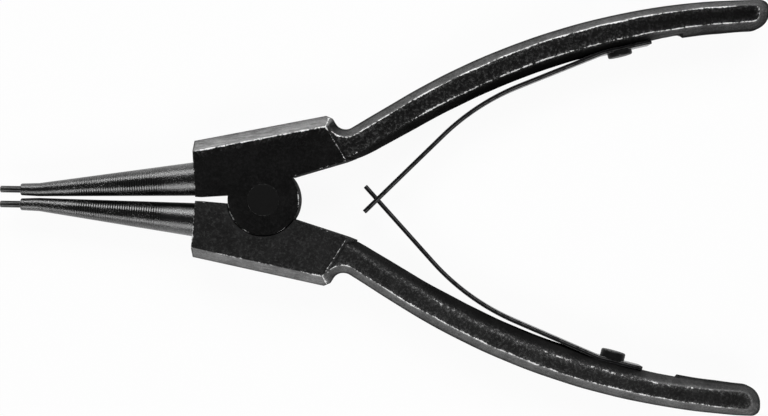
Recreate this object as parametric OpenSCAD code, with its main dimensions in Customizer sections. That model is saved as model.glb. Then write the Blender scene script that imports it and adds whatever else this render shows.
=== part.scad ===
// Straight external circlip pliers: two forged halves on a riveted lap joint, closed by two leaf springs.
// The origin is where the pivot axis meets the rear face. +Z leaves the front face, +X runs to the handles.

/* [Head] */
// Thickness of the head over both lap lugs
head_thickness = 10; // [9.5:0.1:12]
// Distance from the pivot to the outer front corner of the head, along the long axis
head_front = 16.7; // [15:0.05:19]
// Half width of the closed head at its outer front corner
head_half_width = 13.6; // [12:0.05:15]
// Turn of the square front corner of the head, which opens the slot towards the pivot
front_turn = 4.2; // [3:0.1:5]
// Slope of the outer edge of the head to the long axis
shoulder_slope = 11.6; // [9:0.1:14]
// Distance from the pivot to the shoulder, measured along the handle
shoulder_at = 23.4; // [21:0.1:25]
// Flat across the outer corner of the shoulder
corner_flat = 0.6; // [0.4:0.1:1.5]
// Half of the slot between the heads at their front corners
slot_half = 0.45; // [0.35:0.01:0.6]
// Slope of the inner edge of the head to the long axis
relief_slope = 17.2; // [16:0.1:18]
// Distance from the pivot to the inner edge of the head
relief_offset = 2.7; // [2:0.1:3]

/* [Lap joint] */
// Radius of the lap lug
lug_radius = 8.25; // [7.5:0.05:9]
// Gap round the lug
lug_clearance = 0.2; // [0.1:0.05:0.3]
// Gap between the faces of the two lugs
lap_gap = 0.1; // [0.06:0.02:0.2]
// Diameter of the pivot rivet
pivot_diameter = 5.5; // [4:0.1:6]
// Diameter of the countersunk ends of the pivot rivet
pivot_head_diameter = 7.4; // [6.8:0.1:9]
// Running clearance of the pivot rivet in the turning lug
pivot_clearance = 0.05; // [0.02:0.01:0.08]

/* [Jaw] */
// Distance from the pivot to the nose of the jaw
nose_at = 57.3; // [50:0.1:65]
// Diameter of the jaw at the nose
nose_diameter = 2.8; // [2.6:0.05:2.9]
// Length of the slim nose round the tip pin
nose_length = 4.2; // [3:0.1:6]
// Diameter of the nose where the cone begins
nose_root_diameter = 3.15; // [3:0.05:3.3]
// Half of the distance between the two tip pins
tip_offset = 1.8; // [1.75:0.01:2]
// Diameter of the jaw where it meets the head
jaw_diameter = 7.9; // [7:0.05:8]
// Distance from the long axis to the jaw's centre where it meets the head
jaw_offset = 4.85; // [4.85:0.05:5.5]
// Diameter of the tip pin
tip_diameter = 1.6; // [1.4:0.05:1.8]
// Diameter of the tip pin's shank inside the nose
tip_shank = 1; // [0.7:0.05:1]
// Chamfer at the end of the tip pin
tip_chamfer = 0.15; // [0.1:0.05:0.3]
// Length of the tip pin outside the nose
tip_length = 4.9; // [3:0.1:7]
// Length of the tip pin inside the nose
tip_depth = 6; // [4:0.5:9]

/* [Forging] */
// Draft of the forged walls
draft = 30; // [26:0.5:31]
// Height of the upright land along the parting line
parting_land = 2; // [1.5:0.1:3]
// Width of the broken edges
edge_break = 0.3; // [0.1:0.05:0.4]
// Radius of the hollow between the shoulder and the handle
notch_radius = 2.7; // [1.5:0.1:3]

/* [Handle] */
// Width of the handle at the parting line
handle_width = 7.8; // [7.2:0.1:9]
// Thickness of the handle
handle_thickness = 8.6; // [8:0.1:9]
// Slope of the straight part of the handle to the long axis
handle_slope = 31.5; // [30:0.1:33]
// Distance from the pivot to the centre line of the handle
handle_offset = 0.29; // [0:0.01:0.8]
// Distance from the pivot to the start of the bow
bow_at = 39.3; // [34:0.1:44]
// Radius of the bow at the centre line
bow_radius = 163.6; // [155:0.1:175]
// Angle turned by the bow
bow_turn = 29.8; // [28:0.1:32]
// Corner radius of the handle's end
end_radius = 3.4; // [2.8:0.1:3.5]

/* [Springs] */
// Thickness of the leaf spring
spring_thickness = 1.05; // [0.6:0.05:1.2]
// Width of the leaf spring
spring_width = 4.4; // [4:0.1:6]
// Angle round the bow to the spring rivet
rivet_turn = 18.1; // [16:0.1:19]
// Depth of the spring seat under the rivet
seat_depth = 0.3; // [0.2:0.05:0.4]
// Length of the seat on the pivot side of the rivet
seat_before = 8; // [8:0.1:10]
// Length of the seat on the far side of the rivet
seat_after = 16; // [12:0.1:18]
// Length of the spring on the far side of the rivet
root_length = 7.8; // [6:0.1:10]
// Distance from the rivet to the bend that lifts the spring off the handle
bend_at = 3.4; // [3.2:0.1:3.8]
// Angle of that bend
bend_angle = 9.2; // [8.4:0.1:11]
// Centre radius of that bend
bend_radius = 8; // [4:0.5:10]
// Centre radius of the long curve
curve_radius = 55; // [40:1:65]
// Angle of the upper spring's straight tip to the long axis
upper_tip_angle = 45; // [42:0.1:50]
// Angle of the lower spring's straight tip to the long axis
lower_tip_angle = 47.4; // [42:0.1:50]
// Distance from the pivot to the crossing of the springs
cross_at = 26.3; // [25:0.1:29]
// Height of the crossing above the long axis
cross_rise = 0.5; // [-1:0.1:1]
// Length of the tips past the crossing
tip_over = 4.2; // [3.6:0.1:5]
// Width of the tongue on the lower spring
tongue_width = 1.8; // [1.2:0.1:2.2]
// Gap on each side of the tongue in the window
tongue_clearance = 0.3; // [0.2:0.05:0.4]
// Length of the window behind the crossing
window_behind = 7; // [4:0.5:9]
// Length of the window past the crossing
window_past = 2.6; // [1.6:0.1:2.8]

/* [Spring rivets] */
// Diameter of the spring rivet
rivet_diameter = 2.6; // [2:0.1:2.8]
// Diameter of its head
rivet_head_diameter = 5.7; // [4.6:0.1:6.2]
// Height of its head
rivet_head_height = 1.2; // [1:0.05:1.6]
// Rounding of its head
rivet_head_round = 0.4; // [0.2:0.05:0.6]
// Length of the rivet inside the handle
rivet_depth = 4.8; // [3:0.1:5.5]
// Gap round the rivet in the spring
rivet_clearance = 0.05; // [0.02:0.01:0.1]

/* [Hidden] */
$fn = 96;
mid = head_thickness / 2;
half_land = parting_land / 2;
half_handle = handle_thickness / 2;
head_run = (mid - half_land) * tan(draft);
break_lean = atan(1 + tan(draft));
reach = 1.5 * bow_at;
bow_centre = place(handle_slope, bow_at, handle_offset - bow_radius);
seat_slope = handle_slope - rivet_turn;
seat_radius = bow_radius - handle_width / 2 + seat_depth;
seat_floor = norm([seat_radius, root_length]) + 0.02;
front_out = [-head_front, head_half_width];
front_axis = front_out + head_half_width * [tan(front_turn), -1];
front_in = front_axis + slot_half * [-tan(front_turn), 1];
slot_end = meet(front_in, front_turn, place(relief_slope, 0, relief_offset), relief_slope);
relief_end = slot_end + place(relief_slope, reach, 0);
shoulder_in = place(handle_slope, shoulder_at, -handle_width);
shoulder_out = meet(front_out, shoulder_slope, shoulder_in, handle_slope - 90);
corner_slope = (shoulder_slope + handle_slope - 90) / 2;
cone_at = nose_at - nose_length + 0.3;
cone_diameter = nose_root_diameter - 0.05;
jaw_slope = atan2(jaw_offset - tip_offset, cone_at - head_front);
jaw_length = norm([jaw_offset - tip_offset, cone_at - head_front]);
jaw_root = 4;
root_slope = seat_slope + bend_angle;
bend_point = bow_centre + place(seat_slope, -bend_at, seat_radius - spring_thickness / 2);
bend_tangent = bend_radius * tan(bend_angle / 2);
bend_centre = bend_point + place(seat_slope, bend_tangent, -bend_radius);

// Point at distance s along a line from the origin with the given slope, and n to the left of it
function place(slope, s, n) = [s * cos(slope) - n * sin(slope), s * sin(slope) + n * cos(slope)];

// Crossing of two lines, each given by a point and a slope
function meet(p, p_slope, q, q_slope) =
    let (run = ((q.x - p.x) * sin(q_slope) - (q.y - p.y) * cos(q_slope)) / sin(q_slope - p_slope))
    p + run * [cos(p_slope), sin(p_slope)];

// Points round an arc, one for each degree
function arc_points(centre, radius, from, turn) =
    let (steps = ceil(turn))
    [for (i = [0:steps]) centre + place(from + turn * i / steps, radius, 0)];

// Centre of the long curve of a spring whose tip crosses at the given rise with the given slope
function curve_centre(slope, rise) =
    let (corner = meet(bend_point, root_slope, [cross_at, rise], slope))
    corner + place(root_slope, curve_radius * tan((slope - root_slope) / 2), -curve_radius);

// One side of the spring strip from root to tip, at an offset from its centre line
function spring_side(slope, rise, offset) = concat(
    [bow_centre + place(seat_slope, root_length, seat_radius - spring_thickness / 2 + offset)],
    arc_points(bend_centre, bend_radius + offset, seat_slope + 90, bend_angle),
    arc_points(curve_centre(slope, rise), curve_radius + offset, root_slope + 90, slope - root_slope),
    [[cross_at, rise] + place(slope, -tip_over, offset)]
);

// One forged flank from the parting land to the face, at half width r and half thickness h
function flank(r, h) = [
    [r, half_land],
    [r - (h - edge_break - half_land) * tan(draft), h - edge_break],
    [r - (h - half_land) * tan(draft) - edge_break, h]
];

function mirrored(f, x, y) = [for (i = [2:-1:0]) [x * f[i].x, y * f[i].y]];

// Closed section of the handle, and the half section for its end, drawn from a distance back
function section(f) = concat(f, mirrored(f, -1, 1), [for (p = f) -p], mirrored(f, 1, -1));
function half_section(f, back) = concat([[-back, -f[2].y]], mirrored(f, 1, -1), f, [[-back, f[2].y]]);

// Takes the draft and the broken edges off a wall through p, on its left side looking along the slope
module draft_cut(p, slope) {
    translate([p.x, p.y, 0]) rotate([0, 0, slope]) for (side = [0, 1]) mirror([0, 0, side]) {
        translate([0, 0, half_land]) rotate([draft, 0, 0])
            translate([-reach, 0, -reach / 4]) cube([2 * reach, reach / 4, reach / 2]);
        translate([0, -head_run - edge_break, mid]) rotate([break_lean, 0, 0])
            translate([-reach, 0, -reach / 4]) cube([2 * reach, reach / 4, reach / 2]);
    }
}

module head() {
    difference() {
        linear_extrude(head_thickness, center = true)
            polygon([front_axis, [0, 0], shoulder_in, shoulder_out, front_out]);
        draft_cut(front_out, shoulder_slope);
        draft_cut(shoulder_out, handle_slope - 90);
        draft_cut(shoulder_out + place(corner_slope, 0, -corner_flat), corner_slope);
    }
}

// Hollow between the drafted shoulder and the drafted handle
module notch() {
    hollow = notch_radius + (half_handle - half_land) * tan(draft);
    side = hollow + 1;
    corner = [shoulder_at + notch_radius, handle_offset + handle_width / 2 + notch_radius];
    rotate([0, 0, handle_slope]) difference() {
        translate([corner.x - side, corner.y - side, edge_break - half_handle])
            cube([side, side, handle_thickness - 2 * edge_break]);
        translate([corner.x, corner.y, 0]) rotate_extrude() polygon([
            [0, -half_handle],
            [hollow, -half_handle],
            [notch_radius, -half_land],
            [notch_radius, half_land],
            [hollow, half_handle],
            [0, half_handle]
        ]);
    }
}

// Slim nose round the tip pin, and the turned cone behind it with its root carried on into the head
module jaw() {
    taper = (jaw_diameter - cone_diameter) / jaw_length;
    translate([-nose_at, tip_offset, 0]) rotate([0, 90, 0])
        cylinder(h = nose_length, d1 = nose_diameter, d2 = nose_root_diameter);
    translate([-cone_at, tip_offset, 0]) rotate([0, 0, jaw_slope]) rotate([0, 90, 0])
        cylinder(h = jaw_length + jaw_root, d1 = cone_diameter, d2 = jaw_diameter + jaw_root * taper);
}

// Corner rounds of the handle's end and the wall between them, a hair inside the bow and carried into it
module handle_end() {
    inset = 0.02;
    sweep = 95;
    f = flank(end_radius, half_handle - inset);
    side = handle_width / 2 - end_radius - inset;
    rotate([90, 0, 0]) linear_extrude(2 * side, center = true) polygon(half_section(f, 0.3));
    translate([0, side, 0]) rotate_extrude(angle = sweep) polygon(half_section(f, 0));
    translate([0, -side, 0]) rotate([0, 0, -sweep]) rotate_extrude(angle = sweep) polygon(half_section(f, 0));
}

// Straight neck, bow and end, drawn from the start of the bow
module handle_bar() {
    f = flank(handle_width / 2, half_handle);
    neck = bow_at - shoulder_at + head_run;
    rotate([0, 0, handle_slope]) translate([bow_at, handle_offset, 0]) {
        rotate([90, 0, -90]) linear_extrude(neck) polygon(section(f));
        translate([0, -bow_radius, 0]) {
            rotate([0, 0, 90]) rotate_extrude(angle = -bow_turn, $fn = 360)
                translate([bow_radius, 0]) polygon(section(f));
            rotate([0, 0, -bow_turn]) translate([0, bow_radius, 0]) handle_end();
        }
    }
}

// Handle with the spring seat and the hole for the spring rivet
module handle() {
    difference() {
        handle_bar();
        translate(bow_centre) rotate([0, 0, seat_slope]) {
            intersection() {
                translate([-seat_before, seat_radius - 3, -mid])
                    cube([seat_before + seat_after, 3, head_thickness]);
                cylinder(r = seat_floor, h = 2 * head_thickness, center = true, $fn = 720);
            }
            translate([0, seat_radius - 1, 0]) rotate([-90, 0, 0])
                cylinder(d = rivet_diameter, h = rivet_depth + 1.2);
        }
    }
}

// Upright inner edge of head and neck: the slot in front of the pivot and the relief behind it
module inner_trim() {
    slot_start = slot_end + place(front_turn, -reach, 0);
    linear_extrude(head_thickness + 2, center = true)
        polygon([slot_start, slot_end, relief_end, [relief_end.x, -reach], [slot_start.x, -reach]]);
}

// Pivot rivet with both countersunk ends, enlarged by a gap and carried past both faces
module pivot_shape(gap, past) {
    shank = pivot_diameter / 2;
    rim = pivot_head_diameter / 2;
    neck = mid - (rim - shank);
    rotate_extrude() polygon([
        [0, -mid - past],
        [rim + gap + past, -mid - past],
        [shank + gap, -neck],
        [shank + gap, neck],
        [rim + gap + past, mid + past],
        [0, mid + past]
    ]);
}

module half(gap) {
    difference() {
        union() {
            difference() {
                union() {
                    head();
                    notch();
                    handle();
                }
                inner_trim();
            }
            jaw();
            translate([0, 0, lap_gap / 2]) cylinder(r = lug_radius, h = mid - lap_gap / 2);
        }
        translate([0, 0, -mid - 1]) cylinder(r = lug_radius + lug_clearance, h = mid + 1 + lap_gap / 2);
        pivot_shape(gap, 0.5);
        translate([-nose_at - 1, tip_offset, 0]) rotate([0, 90, 0])
            cylinder(d = tip_shank, h = tip_depth + 1);
    }
}

// Strip from its root on the handle to its tip, with the hole for its rivet
module leaf_spring(slope, rise) {
    outer = spring_side(slope, rise, spring_thickness / 2);
    inner = spring_side(slope, rise, -spring_thickness / 2);
    difference() {
        linear_extrude(spring_width, center = true)
            polygon(concat(outer, [for (i = [len(inner) - 1:-1:0]) inner[i]]));
        translate(bow_centre) rotate([0, 0, seat_slope]) translate([0, seat_radius - 2, 0])
            rotate([-90, 0, 0]) cylinder(d = rivet_diameter + 2 * rivet_clearance, h = 3);
    }
}

// Box lying along the tip of the spring, from behind the crossing to past it
module tip_box(slope, rise, behind, past, low, high) {
    translate([cross_at, rise, 0]) rotate([0, 0, slope + 180])
        translate([-behind, -spring_thickness, low]) cube([behind + past, 2 * spring_thickness, high - low]);
}

module spring_rivet() {
    rim = rivet_head_diameter / 2;
    translate(bow_centre) rotate([0, 0, seat_slope]) translate([0, seat_radius - spring_thickness, 0]) {
        rotate([90, 0, 0]) rotate_extrude() {
            square([rim, rivet_head_height - rivet_head_round]);
            square([rim - rivet_head_round, rivet_head_height]);
            translate([rim - rivet_head_round, rivet_head_height - rivet_head_round]) intersection() {
                circle(rivet_head_round);
                square(rivet_head_round);
            }
        }
        rotate([-90, 0, 0]) cylinder(d = rivet_diameter, h = rivet_depth + spring_thickness);
    }
}

module tip_pin() {
    translate([-nose_at - tip_length, tip_offset, 0]) rotate([0, 90, 0]) rotate_extrude() polygon([
        [0, 0],
        [tip_diameter / 2 - tip_chamfer, 0],
        [tip_diameter / 2, tip_chamfer],
        [tip_diameter / 2, tip_length],
        [tip_shank / 2, tip_length],
        [tip_shank / 2, tip_length + tip_depth],
        [0, tip_length + tip_depth]
    ]);
}

module upper_half() {
    color("dimgray") translate([0, 0, mid]) half(pivot_clearance);
}

module lower_half() {
    color("dimgray") translate([0, 0, mid]) rotate([180, 0, 0]) half(0);
}

module pivot_rivet() {
    color("gray") translate([0, 0, mid]) pivot_shape(0, 0);
}

module upper_leaf_spring() {
    side = tongue_width / 2 + tongue_clearance;
    color("slategray") translate([0, 0, mid]) difference() {
        leaf_spring(upper_tip_angle, cross_rise);
        tip_box(upper_tip_angle, cross_rise, window_behind, window_past, -side, side);
    }
}

module lower_leaf_spring() {
    side = tongue_width / 2;
    color("slategray") translate([0, 0, mid]) rotate([180, 0, 0]) difference() {
        leaf_spring(lower_tip_angle, -cross_rise);
        tip_box(lower_tip_angle, -cross_rise, window_behind + 2, tip_over + 1, side, spring_width);
        tip_box(lower_tip_angle, -cross_rise, window_behind + 2, tip_over + 1, -spring_width, -side);
    }
}

module upper_spring_rivet() {
    color("silver") translate([0, 0, mid]) spring_rivet();
}

module lower_spring_rivet() {
    color("silver") translate([0, 0, mid]) rotate([180, 0, 0]) spring_rivet();
}

module upper_tip_pin() {
    color("lightgray") translate([0, 0, mid]) tip_pin();
}

module lower_tip_pin() {
    color("lightgray") translate([0, 0, mid]) rotate([180, 0, 0]) tip_pin();
}

upper_half();
lower_half();
pivot_rivet();
upper_leaf_spring();
lower_leaf_spring();
upper_spring_rivet();
lower_spring_rivet();
upper_tip_pin();
lower_tip_pin();
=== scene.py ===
import math

import bmesh
import bpy
import numpy as np
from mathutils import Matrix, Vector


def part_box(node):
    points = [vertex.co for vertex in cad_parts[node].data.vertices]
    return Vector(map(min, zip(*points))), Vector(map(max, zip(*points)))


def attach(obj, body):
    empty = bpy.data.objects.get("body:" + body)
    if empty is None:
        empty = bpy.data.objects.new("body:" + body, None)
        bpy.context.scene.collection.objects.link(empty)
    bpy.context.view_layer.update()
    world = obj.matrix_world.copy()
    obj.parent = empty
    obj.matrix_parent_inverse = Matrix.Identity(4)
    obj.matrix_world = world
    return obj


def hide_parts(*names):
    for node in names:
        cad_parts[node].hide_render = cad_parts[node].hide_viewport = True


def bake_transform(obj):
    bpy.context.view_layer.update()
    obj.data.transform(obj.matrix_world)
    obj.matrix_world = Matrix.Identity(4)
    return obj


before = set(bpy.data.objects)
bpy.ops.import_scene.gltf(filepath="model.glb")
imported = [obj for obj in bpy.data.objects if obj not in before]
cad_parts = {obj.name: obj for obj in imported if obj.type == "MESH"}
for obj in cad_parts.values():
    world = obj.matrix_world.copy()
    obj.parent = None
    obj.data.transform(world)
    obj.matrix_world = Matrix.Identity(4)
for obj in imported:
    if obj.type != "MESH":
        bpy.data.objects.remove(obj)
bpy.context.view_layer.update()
mm = 0.001
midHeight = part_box("pivot_rivet")[1].z / mm / 2  # height of the lap joint's mid-plane
print("frame loaded:", len(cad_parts), "nodes, mid-plane at", round(midHeight, 3), "mm")


# ways of drawing in the plane, in millimetres, with whole arrays of points

def heading(angle):
    # steps of length 1 in those directions
    return np.stack([np.cos(angle), np.sin(angle)], -1)


def along(slope, s, n):
    # point s along a line with that slope through the pivot, and n to its left
    x = s * np.cos(slope) - n * np.sin(slope)
    y = s * np.sin(slope) + n * np.cos(slope)
    return np.stack(np.broadcast_arrays(x, y), -1)


def meet(p, pSlope, q, qSlope):
    # crossing of two lines, each given by a point and a slope
    gap = q - p
    run = gap[..., 0] * np.sin(qSlope) - gap[..., 1] * np.cos(qSlope)
    run = run / np.sin(qSlope - pSlope)
    return p + run[..., None] * heading(pSlope)


def lineOf(p, q, count):
    # straight stretch from p to q for every level, without its last point
    t = np.arange(count)[None, :, None] / count
    return p[:, None] * (1 - t) + q[:, None] * t


def bendOf(p, q, r, count):
    # soft bend from p to r that leaves and arrives along the lines through q, without its last point
    t = np.arange(count)[None, :, None] / count
    return p[:, None] * (1 - t) ** 2 + 2 * q[:, None] * t * (1 - t) + r[:, None] * t ** 2


def arcOf(centre, radius, start, end, count):
    # round stretch for every level, angles running evenly, without its last point
    t = np.arange(count)[None] / count
    start, end = (np.broadcast_to(angle, radius.shape)[:, None] for angle in (start, end))
    return centre + radius[:, None, None] * heading(start * (1 - t) + end * t)


def ramp(x, start, over):
    # 0 up to start, 1 from start + over on, smooth in between
    t = np.clip((x - start) / over, 0, 1)
    return t * t * (3 - 2 * t)


def wave(u, v, seed, scale, waves=9):
    # smooth unevenness: a few sine waves of different length and direction added up
    draw = np.random.default_rng(seed)
    total = np.zeros(np.broadcast(u, v).shape)
    for _ in range(waves):
        turn, phase = draw.uniform(0, 2 * np.pi, 2)
        length = scale * draw.uniform(0.6, 2.4)
        across = u * np.cos(turn) + v * np.sin(turn)
        total = total + np.sin(across * 2 * np.pi / length + phase)
    return total / waves


# meshes from grids: a grid has rows and columns of points, and as many values of each attribute

joining = dict(seam=2e-7, sliver=1e-7, sharp=math.radians(24))


def gridOf(points, wrap=False, flip=False, **marks):
    return {"points": points, "wrap": wrap, "flip": flip, "marks": marks}


def gridFaces(rows, columns, wrap, flip):
    ids = np.arange(rows * columns).reshape(rows, columns)
    if wrap:
        ids = np.concatenate([ids, ids[:, :1]], 1)
    quads = np.stack([ids[:-1, :-1], ids[:-1, 1:], ids[1:, 1:], ids[1:, :-1]], -1).reshape(-1, 4)
    return quads[:, ::-1] if flip else quads


def addObject(name, data):
    item = bpy.data.objects.new(name, data)
    bpy.context.scene.collection.objects.link(item)
    return item


def buildPiece(name, grids, over=False):
    # joins the grids, closes their seams and poles, and smooths what meets under the sharp angle
    side = np.array([1, -1, -1]) if over else np.ones(3)  # the lower half is the upper one turned over
    points, faces, marks = [], [], {}
    start = 0
    for grid in grids:
        rows, columns = grid["points"].shape[:2]
        points.append(grid["points"].reshape(-1, 3) * side + [0, 0, midHeight])
        faces.append(gridFaces(rows, columns, grid["wrap"], grid["flip"]) + start)
        start += rows * columns
        for key, value in grid["marks"].items():
            marks.setdefault(key, []).append(np.broadcast_to(value, (rows, columns)).ravel())
    mesh = bpy.data.meshes.new(name)
    mesh.from_pydata((np.concatenate(points) * mm).tolist(), [], np.concatenate(faces).tolist())
    for key, values in marks.items():
        layer = mesh.attributes.new(key, "FLOAT", "POINT")
        layer.data.foreach_set("value", np.concatenate(values).astype(np.float32))
    work = bmesh.new()
    work.from_mesh(mesh)
    bmesh.ops.remove_doubles(work, verts=work.verts, dist=joining["seam"])
    bmesh.ops.dissolve_degenerate(work, edges=work.edges, dist=joining["sliver"])
    work.to_mesh(mesh)
    work.free()
    mesh.polygons.foreach_set("use_smooth", np.ones(len(mesh.polygons), bool))
    mesh.set_sharp_from_angle(angle=joining["sharp"])
    return addObject(name, mesh)


def revolve(profile, origin, axis, count, wear):
    # profile of (distance along the axis, radius) carried round the axis
    axis = np.array(axis, float) / np.linalg.norm(axis)
    across = np.array([1.0, 0, 0]) if abs(axis[2]) > 0.5 else np.array([0, 0, 1.0])
    third = np.cross(axis, across)
    turn = np.arange(count) * 2 * np.pi / count
    ring = np.cos(turn)[:, None] * across + np.sin(turn)[:, None] * third
    points = np.array(origin) + profile[:, None, :1] * axis + profile[:, None, 1:] * ring
    return gridOf(points, wrap=True, flip=True, wear=wear[:, None])


def roundedEnd(radius, height, edge, steps):
    # profile of a flat end with a rounded edge, from the axis outwards: three points, then the edge
    turn = np.linspace(0, np.pi / 2, steps)
    flat = radius - edge
    face = np.array([[height, 0], [height, flat * 0.55], [height, flat * 0.9]])
    bend = np.stack([height - edge + edge * np.cos(turn), flat + edge * np.sin(turn)], -1)
    return np.concatenate([face, bend])


# the two forged halves

half = dict(
    headFront=16.7, headHalfWidth=13.6, frontTurn=math.radians(4.2), cornerFlat=0.6, leastFlat=0.05,
    shoulderSlope=math.radians(11.6), shoulderAt=23.4,
    slotHalf=0.45, reliefSlope=math.radians(17.2), reliefOffset=2.7,
    lugRadius=8.25, lugGap=0.2, lapGap=0.1,
    draft=math.radians(30), land=1.0, headEdge=0.16, barEdge=0.18, fade=0.25, rubReach=0.4,
    notchRadius=2.7, handleWidth=7.8, handleHalf=4.3, handleSlope=math.radians(31.5), handleOffset=0.29,
    bowAt=39.3, bowRadius=163.6, bowTurn=math.radians(29.8),
    endReach=3.4, endInner=4.4, endOuter=2.1, endDraft=1.7,
    seatTurn=math.radians(18.1), seatDepth=0.3, seatBefore=8.0, seatAfter=16.0, seatRamp=4,
)
# what sets the two halves apart: how far edges and fittings stand off the mean ones, in millimetres, with
# shoulder as a share of the draft; then how worn and polished the forging is, from 0 to 1
leftover = dict(
    upper=dict(relief=0.5, neck=-0.4, root=-0.05, bow=0.12, heelIn=0.5, heelOut=0.15,
               crestIn=-0.2, crestOut=0.05, seatFloor=0.95, rivet=0.0, rivetAt=0.7,
               reach=0.1, strip=0.3, shoulder=0.13, jaw=-0.15,
               front=0.45, step=0.1, band=0.8, crest=1.0, inner=1.0, rub=0.25, grit=0.1, endGrit=0.05),
    lower=dict(relief=-0.5, neck=-0.1, root=0.2, bow=0.5, heelIn=0.7, heelOut=-0.15,
               crestIn=0.3, crestOut=0.3, seatFloor=0.7, rivet=0.6, rivetAt=0.0,
               reach=-0.65, strip=-0.75, shoulder=0.0, jaw=0.05,
               front=0.8, step=0.6, band=0.3, crest=0.75, inner=0.6, rub=0.48, grit=0.75, endGrit=0.4))
faceSheen = 0.04  # gloss of the flat faces; the drafted flanks have up to 1


def edgeLevels(halfHeight, edge, rows=7):
    # levels up the flank, round the edge and on to a ring on the face: height, insets of the draft and of
    # the rounding, how worn the level is and how close to the edge
    h = half
    wall = np.linspace(h["land"], halfHeight - edge, rows)
    turn = np.linspace(0, np.pi / 2, rows)[1:]
    z = np.concatenate([wall, halfHeight - edge + edge * np.sin(turn), [halfHeight]])
    draft = (z - h["land"]) * math.tan(h["draft"])
    inset = np.concatenate([np.zeros(rows), edge * (1 - np.cos(turn)), [edge + h["fade"]]])
    crest = np.sin(turn * 2 - turn * turn / 3).clip(0.4, 1)  # most just past the middle
    worn = np.concatenate([np.zeros(rows - 1), [0.2], crest, [0]])
    away = np.concatenate([wall[-1] - wall, np.zeros(rows - 1), [h["fade"]]])
    return z, draft, inset, worn, np.exp(-away / h["rubReach"])


def fullLevels(levels, middle):
    # the levels mirrored below the mid-plane, with the given heights between them
    z, *others = levels
    flat = np.zeros(len(middle))
    return [np.concatenate([-z[::-1], middle, z])] + [np.concatenate([v[::-1], flat, v]) for v in others]


def lift(ring, z):
    # rings of plane points, one for each level, given their heights
    return np.concatenate([ring, np.broadcast_to(z[:, None, None], ring.shape[:2] + (1,))], -1)


def faceGrid(ring, z, count, rows, crown=0.0, crownSize=9, seed=0, flip=False, rub=(0, 0), **marks):
    # face filled between the first points of a ring and the points facing them, rubbed at both edges;
    # an odd point of the ring lies at the turn and belongs to both sides
    spare = len(ring) - 2 * count
    if spare > 0:
        near, far = ring[: count + 1], ring[-np.arange(spare, spare + count + 1)]
    else:
        near, far = ring[:count], ring[: count - 1: -1]
    t = np.linspace(0, 1, rows)[:, None, None]
    points = near[None] * (1 - t) + far[None] * t
    t = t[..., 0]
    rise = z + crown * np.sin(np.pi * t) * wave(points[..., 0], points[..., 1], seed, crownSize)
    wide = np.linalg.norm(far - near, axis=-1)
    away = [(half["fade"] + share * wide) / half["rubReach"] for share in (t, 1 - t)]
    marks["rub"] = rub[0] * np.exp(-away[0]) + rub[1] * np.exp(-away[1])
    return gridOf(np.concatenate([points, rise[..., None]], -1), flip=flip, **marks)


def frontCorner():
    # outer corner of the front, then the distances of the front and of the slot from the pivot
    h = half
    out = np.array([-h["headFront"], h["headHalfWidth"]])
    turn = h["frontTurn"]
    inner = out + (h["headHalfWidth"] - h["slotHalf"]) * np.array([math.tan(turn), -1])
    return out, inner @ [math.cos(turn), math.sin(turn)], inner @ [-math.sin(turn), math.cos(turn)]


# points along the head's stretches: slot, bed, relief, step, corner flat, outer edge, front
headCounts = [14, 64, 30, 24, 2, 73, 10]
headMarks = dict(ridge=1.1, ridgeFrom=1.2, rimDark=0.25, rimOver=0.5, groundLow=0.4, groundGain=0.45,
                 faceRub=0.2, faceRows=7)


def headRing(off, draft, inset):
    # each level's ring runs along the slot, round the lug's bed, along the relief, up the step and back
    # along the outer edge: straight lines moved in by the draft and the rounding, cut at their crossings
    h = half
    full = draft + inset
    zero = np.zeros_like(full)
    stepSlope = h["handleSlope"] - math.pi / 2
    flatSlope = (h["shoulderSlope"] + stepSlope) / 2
    frontOut, frontAt, slotAt = frontCorner()
    stepFoot = along(h["handleSlope"], h["shoulderAt"], -h["handleWidth"])
    outer = frontOut + along(h["shoulderSlope"], zero, -full * (1 + off["shoulder"]))
    step = stepFoot + along(stepSlope, zero, -full)
    # the corner flat dies out towards the face
    narrowing = 1 / math.cos((h["shoulderSlope"] - stepSlope) / 2) - 1
    flat = meet(outer, h["shoulderSlope"], step, stepSlope)
    flat = flat + along(flatSlope, zero, -np.maximum(h["cornerFlat"] - narrowing * full, h["leastFlat"]))
    relief = along(h["reliefSlope"], zero, h["reliefOffset"] + off["relief"] + inset)
    front = along(h["frontTurn"], frontAt + inset, slotAt + inset)
    # above the mid-plane the lug fills the bed
    above = np.arange(len(inset)) >= len(inset) // 2
    bed = np.where(above, h["lugRadius"], h["lugRadius"] + h["lugGap"] + inset)
    bedStart = math.pi + h["frontTurn"] - np.arcsin((slotAt + inset) / bed)
    bedEnd = h["reliefSlope"] + np.arcsin((h["reliefOffset"] + off["relief"] + inset) / bed)
    stepIn = meet(relief, h["reliefSlope"], step, stepSlope)
    cornerIn = meet(step, stepSlope, flat, flatSlope)
    cornerOut = meet(flat, flatSlope, outer, h["shoulderSlope"])
    frontTop = meet(outer, h["shoulderSlope"], front, h["frontTurn"] + math.pi / 2)
    return np.concatenate([
        lineOf(front, bed[:, None] * heading(bedStart), headCounts[0]),
        arcOf(np.zeros(2), bed, bedStart, bedEnd, headCounts[1]),
        lineOf(bed[:, None] * heading(bedEnd), stepIn, headCounts[2]),
        lineOf(stepIn, cornerIn, headCounts[3]),
        lineOf(cornerIn, cornerOut, headCounts[4]),
        lineOf(cornerOut, frontTop, headCounts[5]),
        lineOf(frontTop, front, headCounts[6]),
    ], 1)


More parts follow.
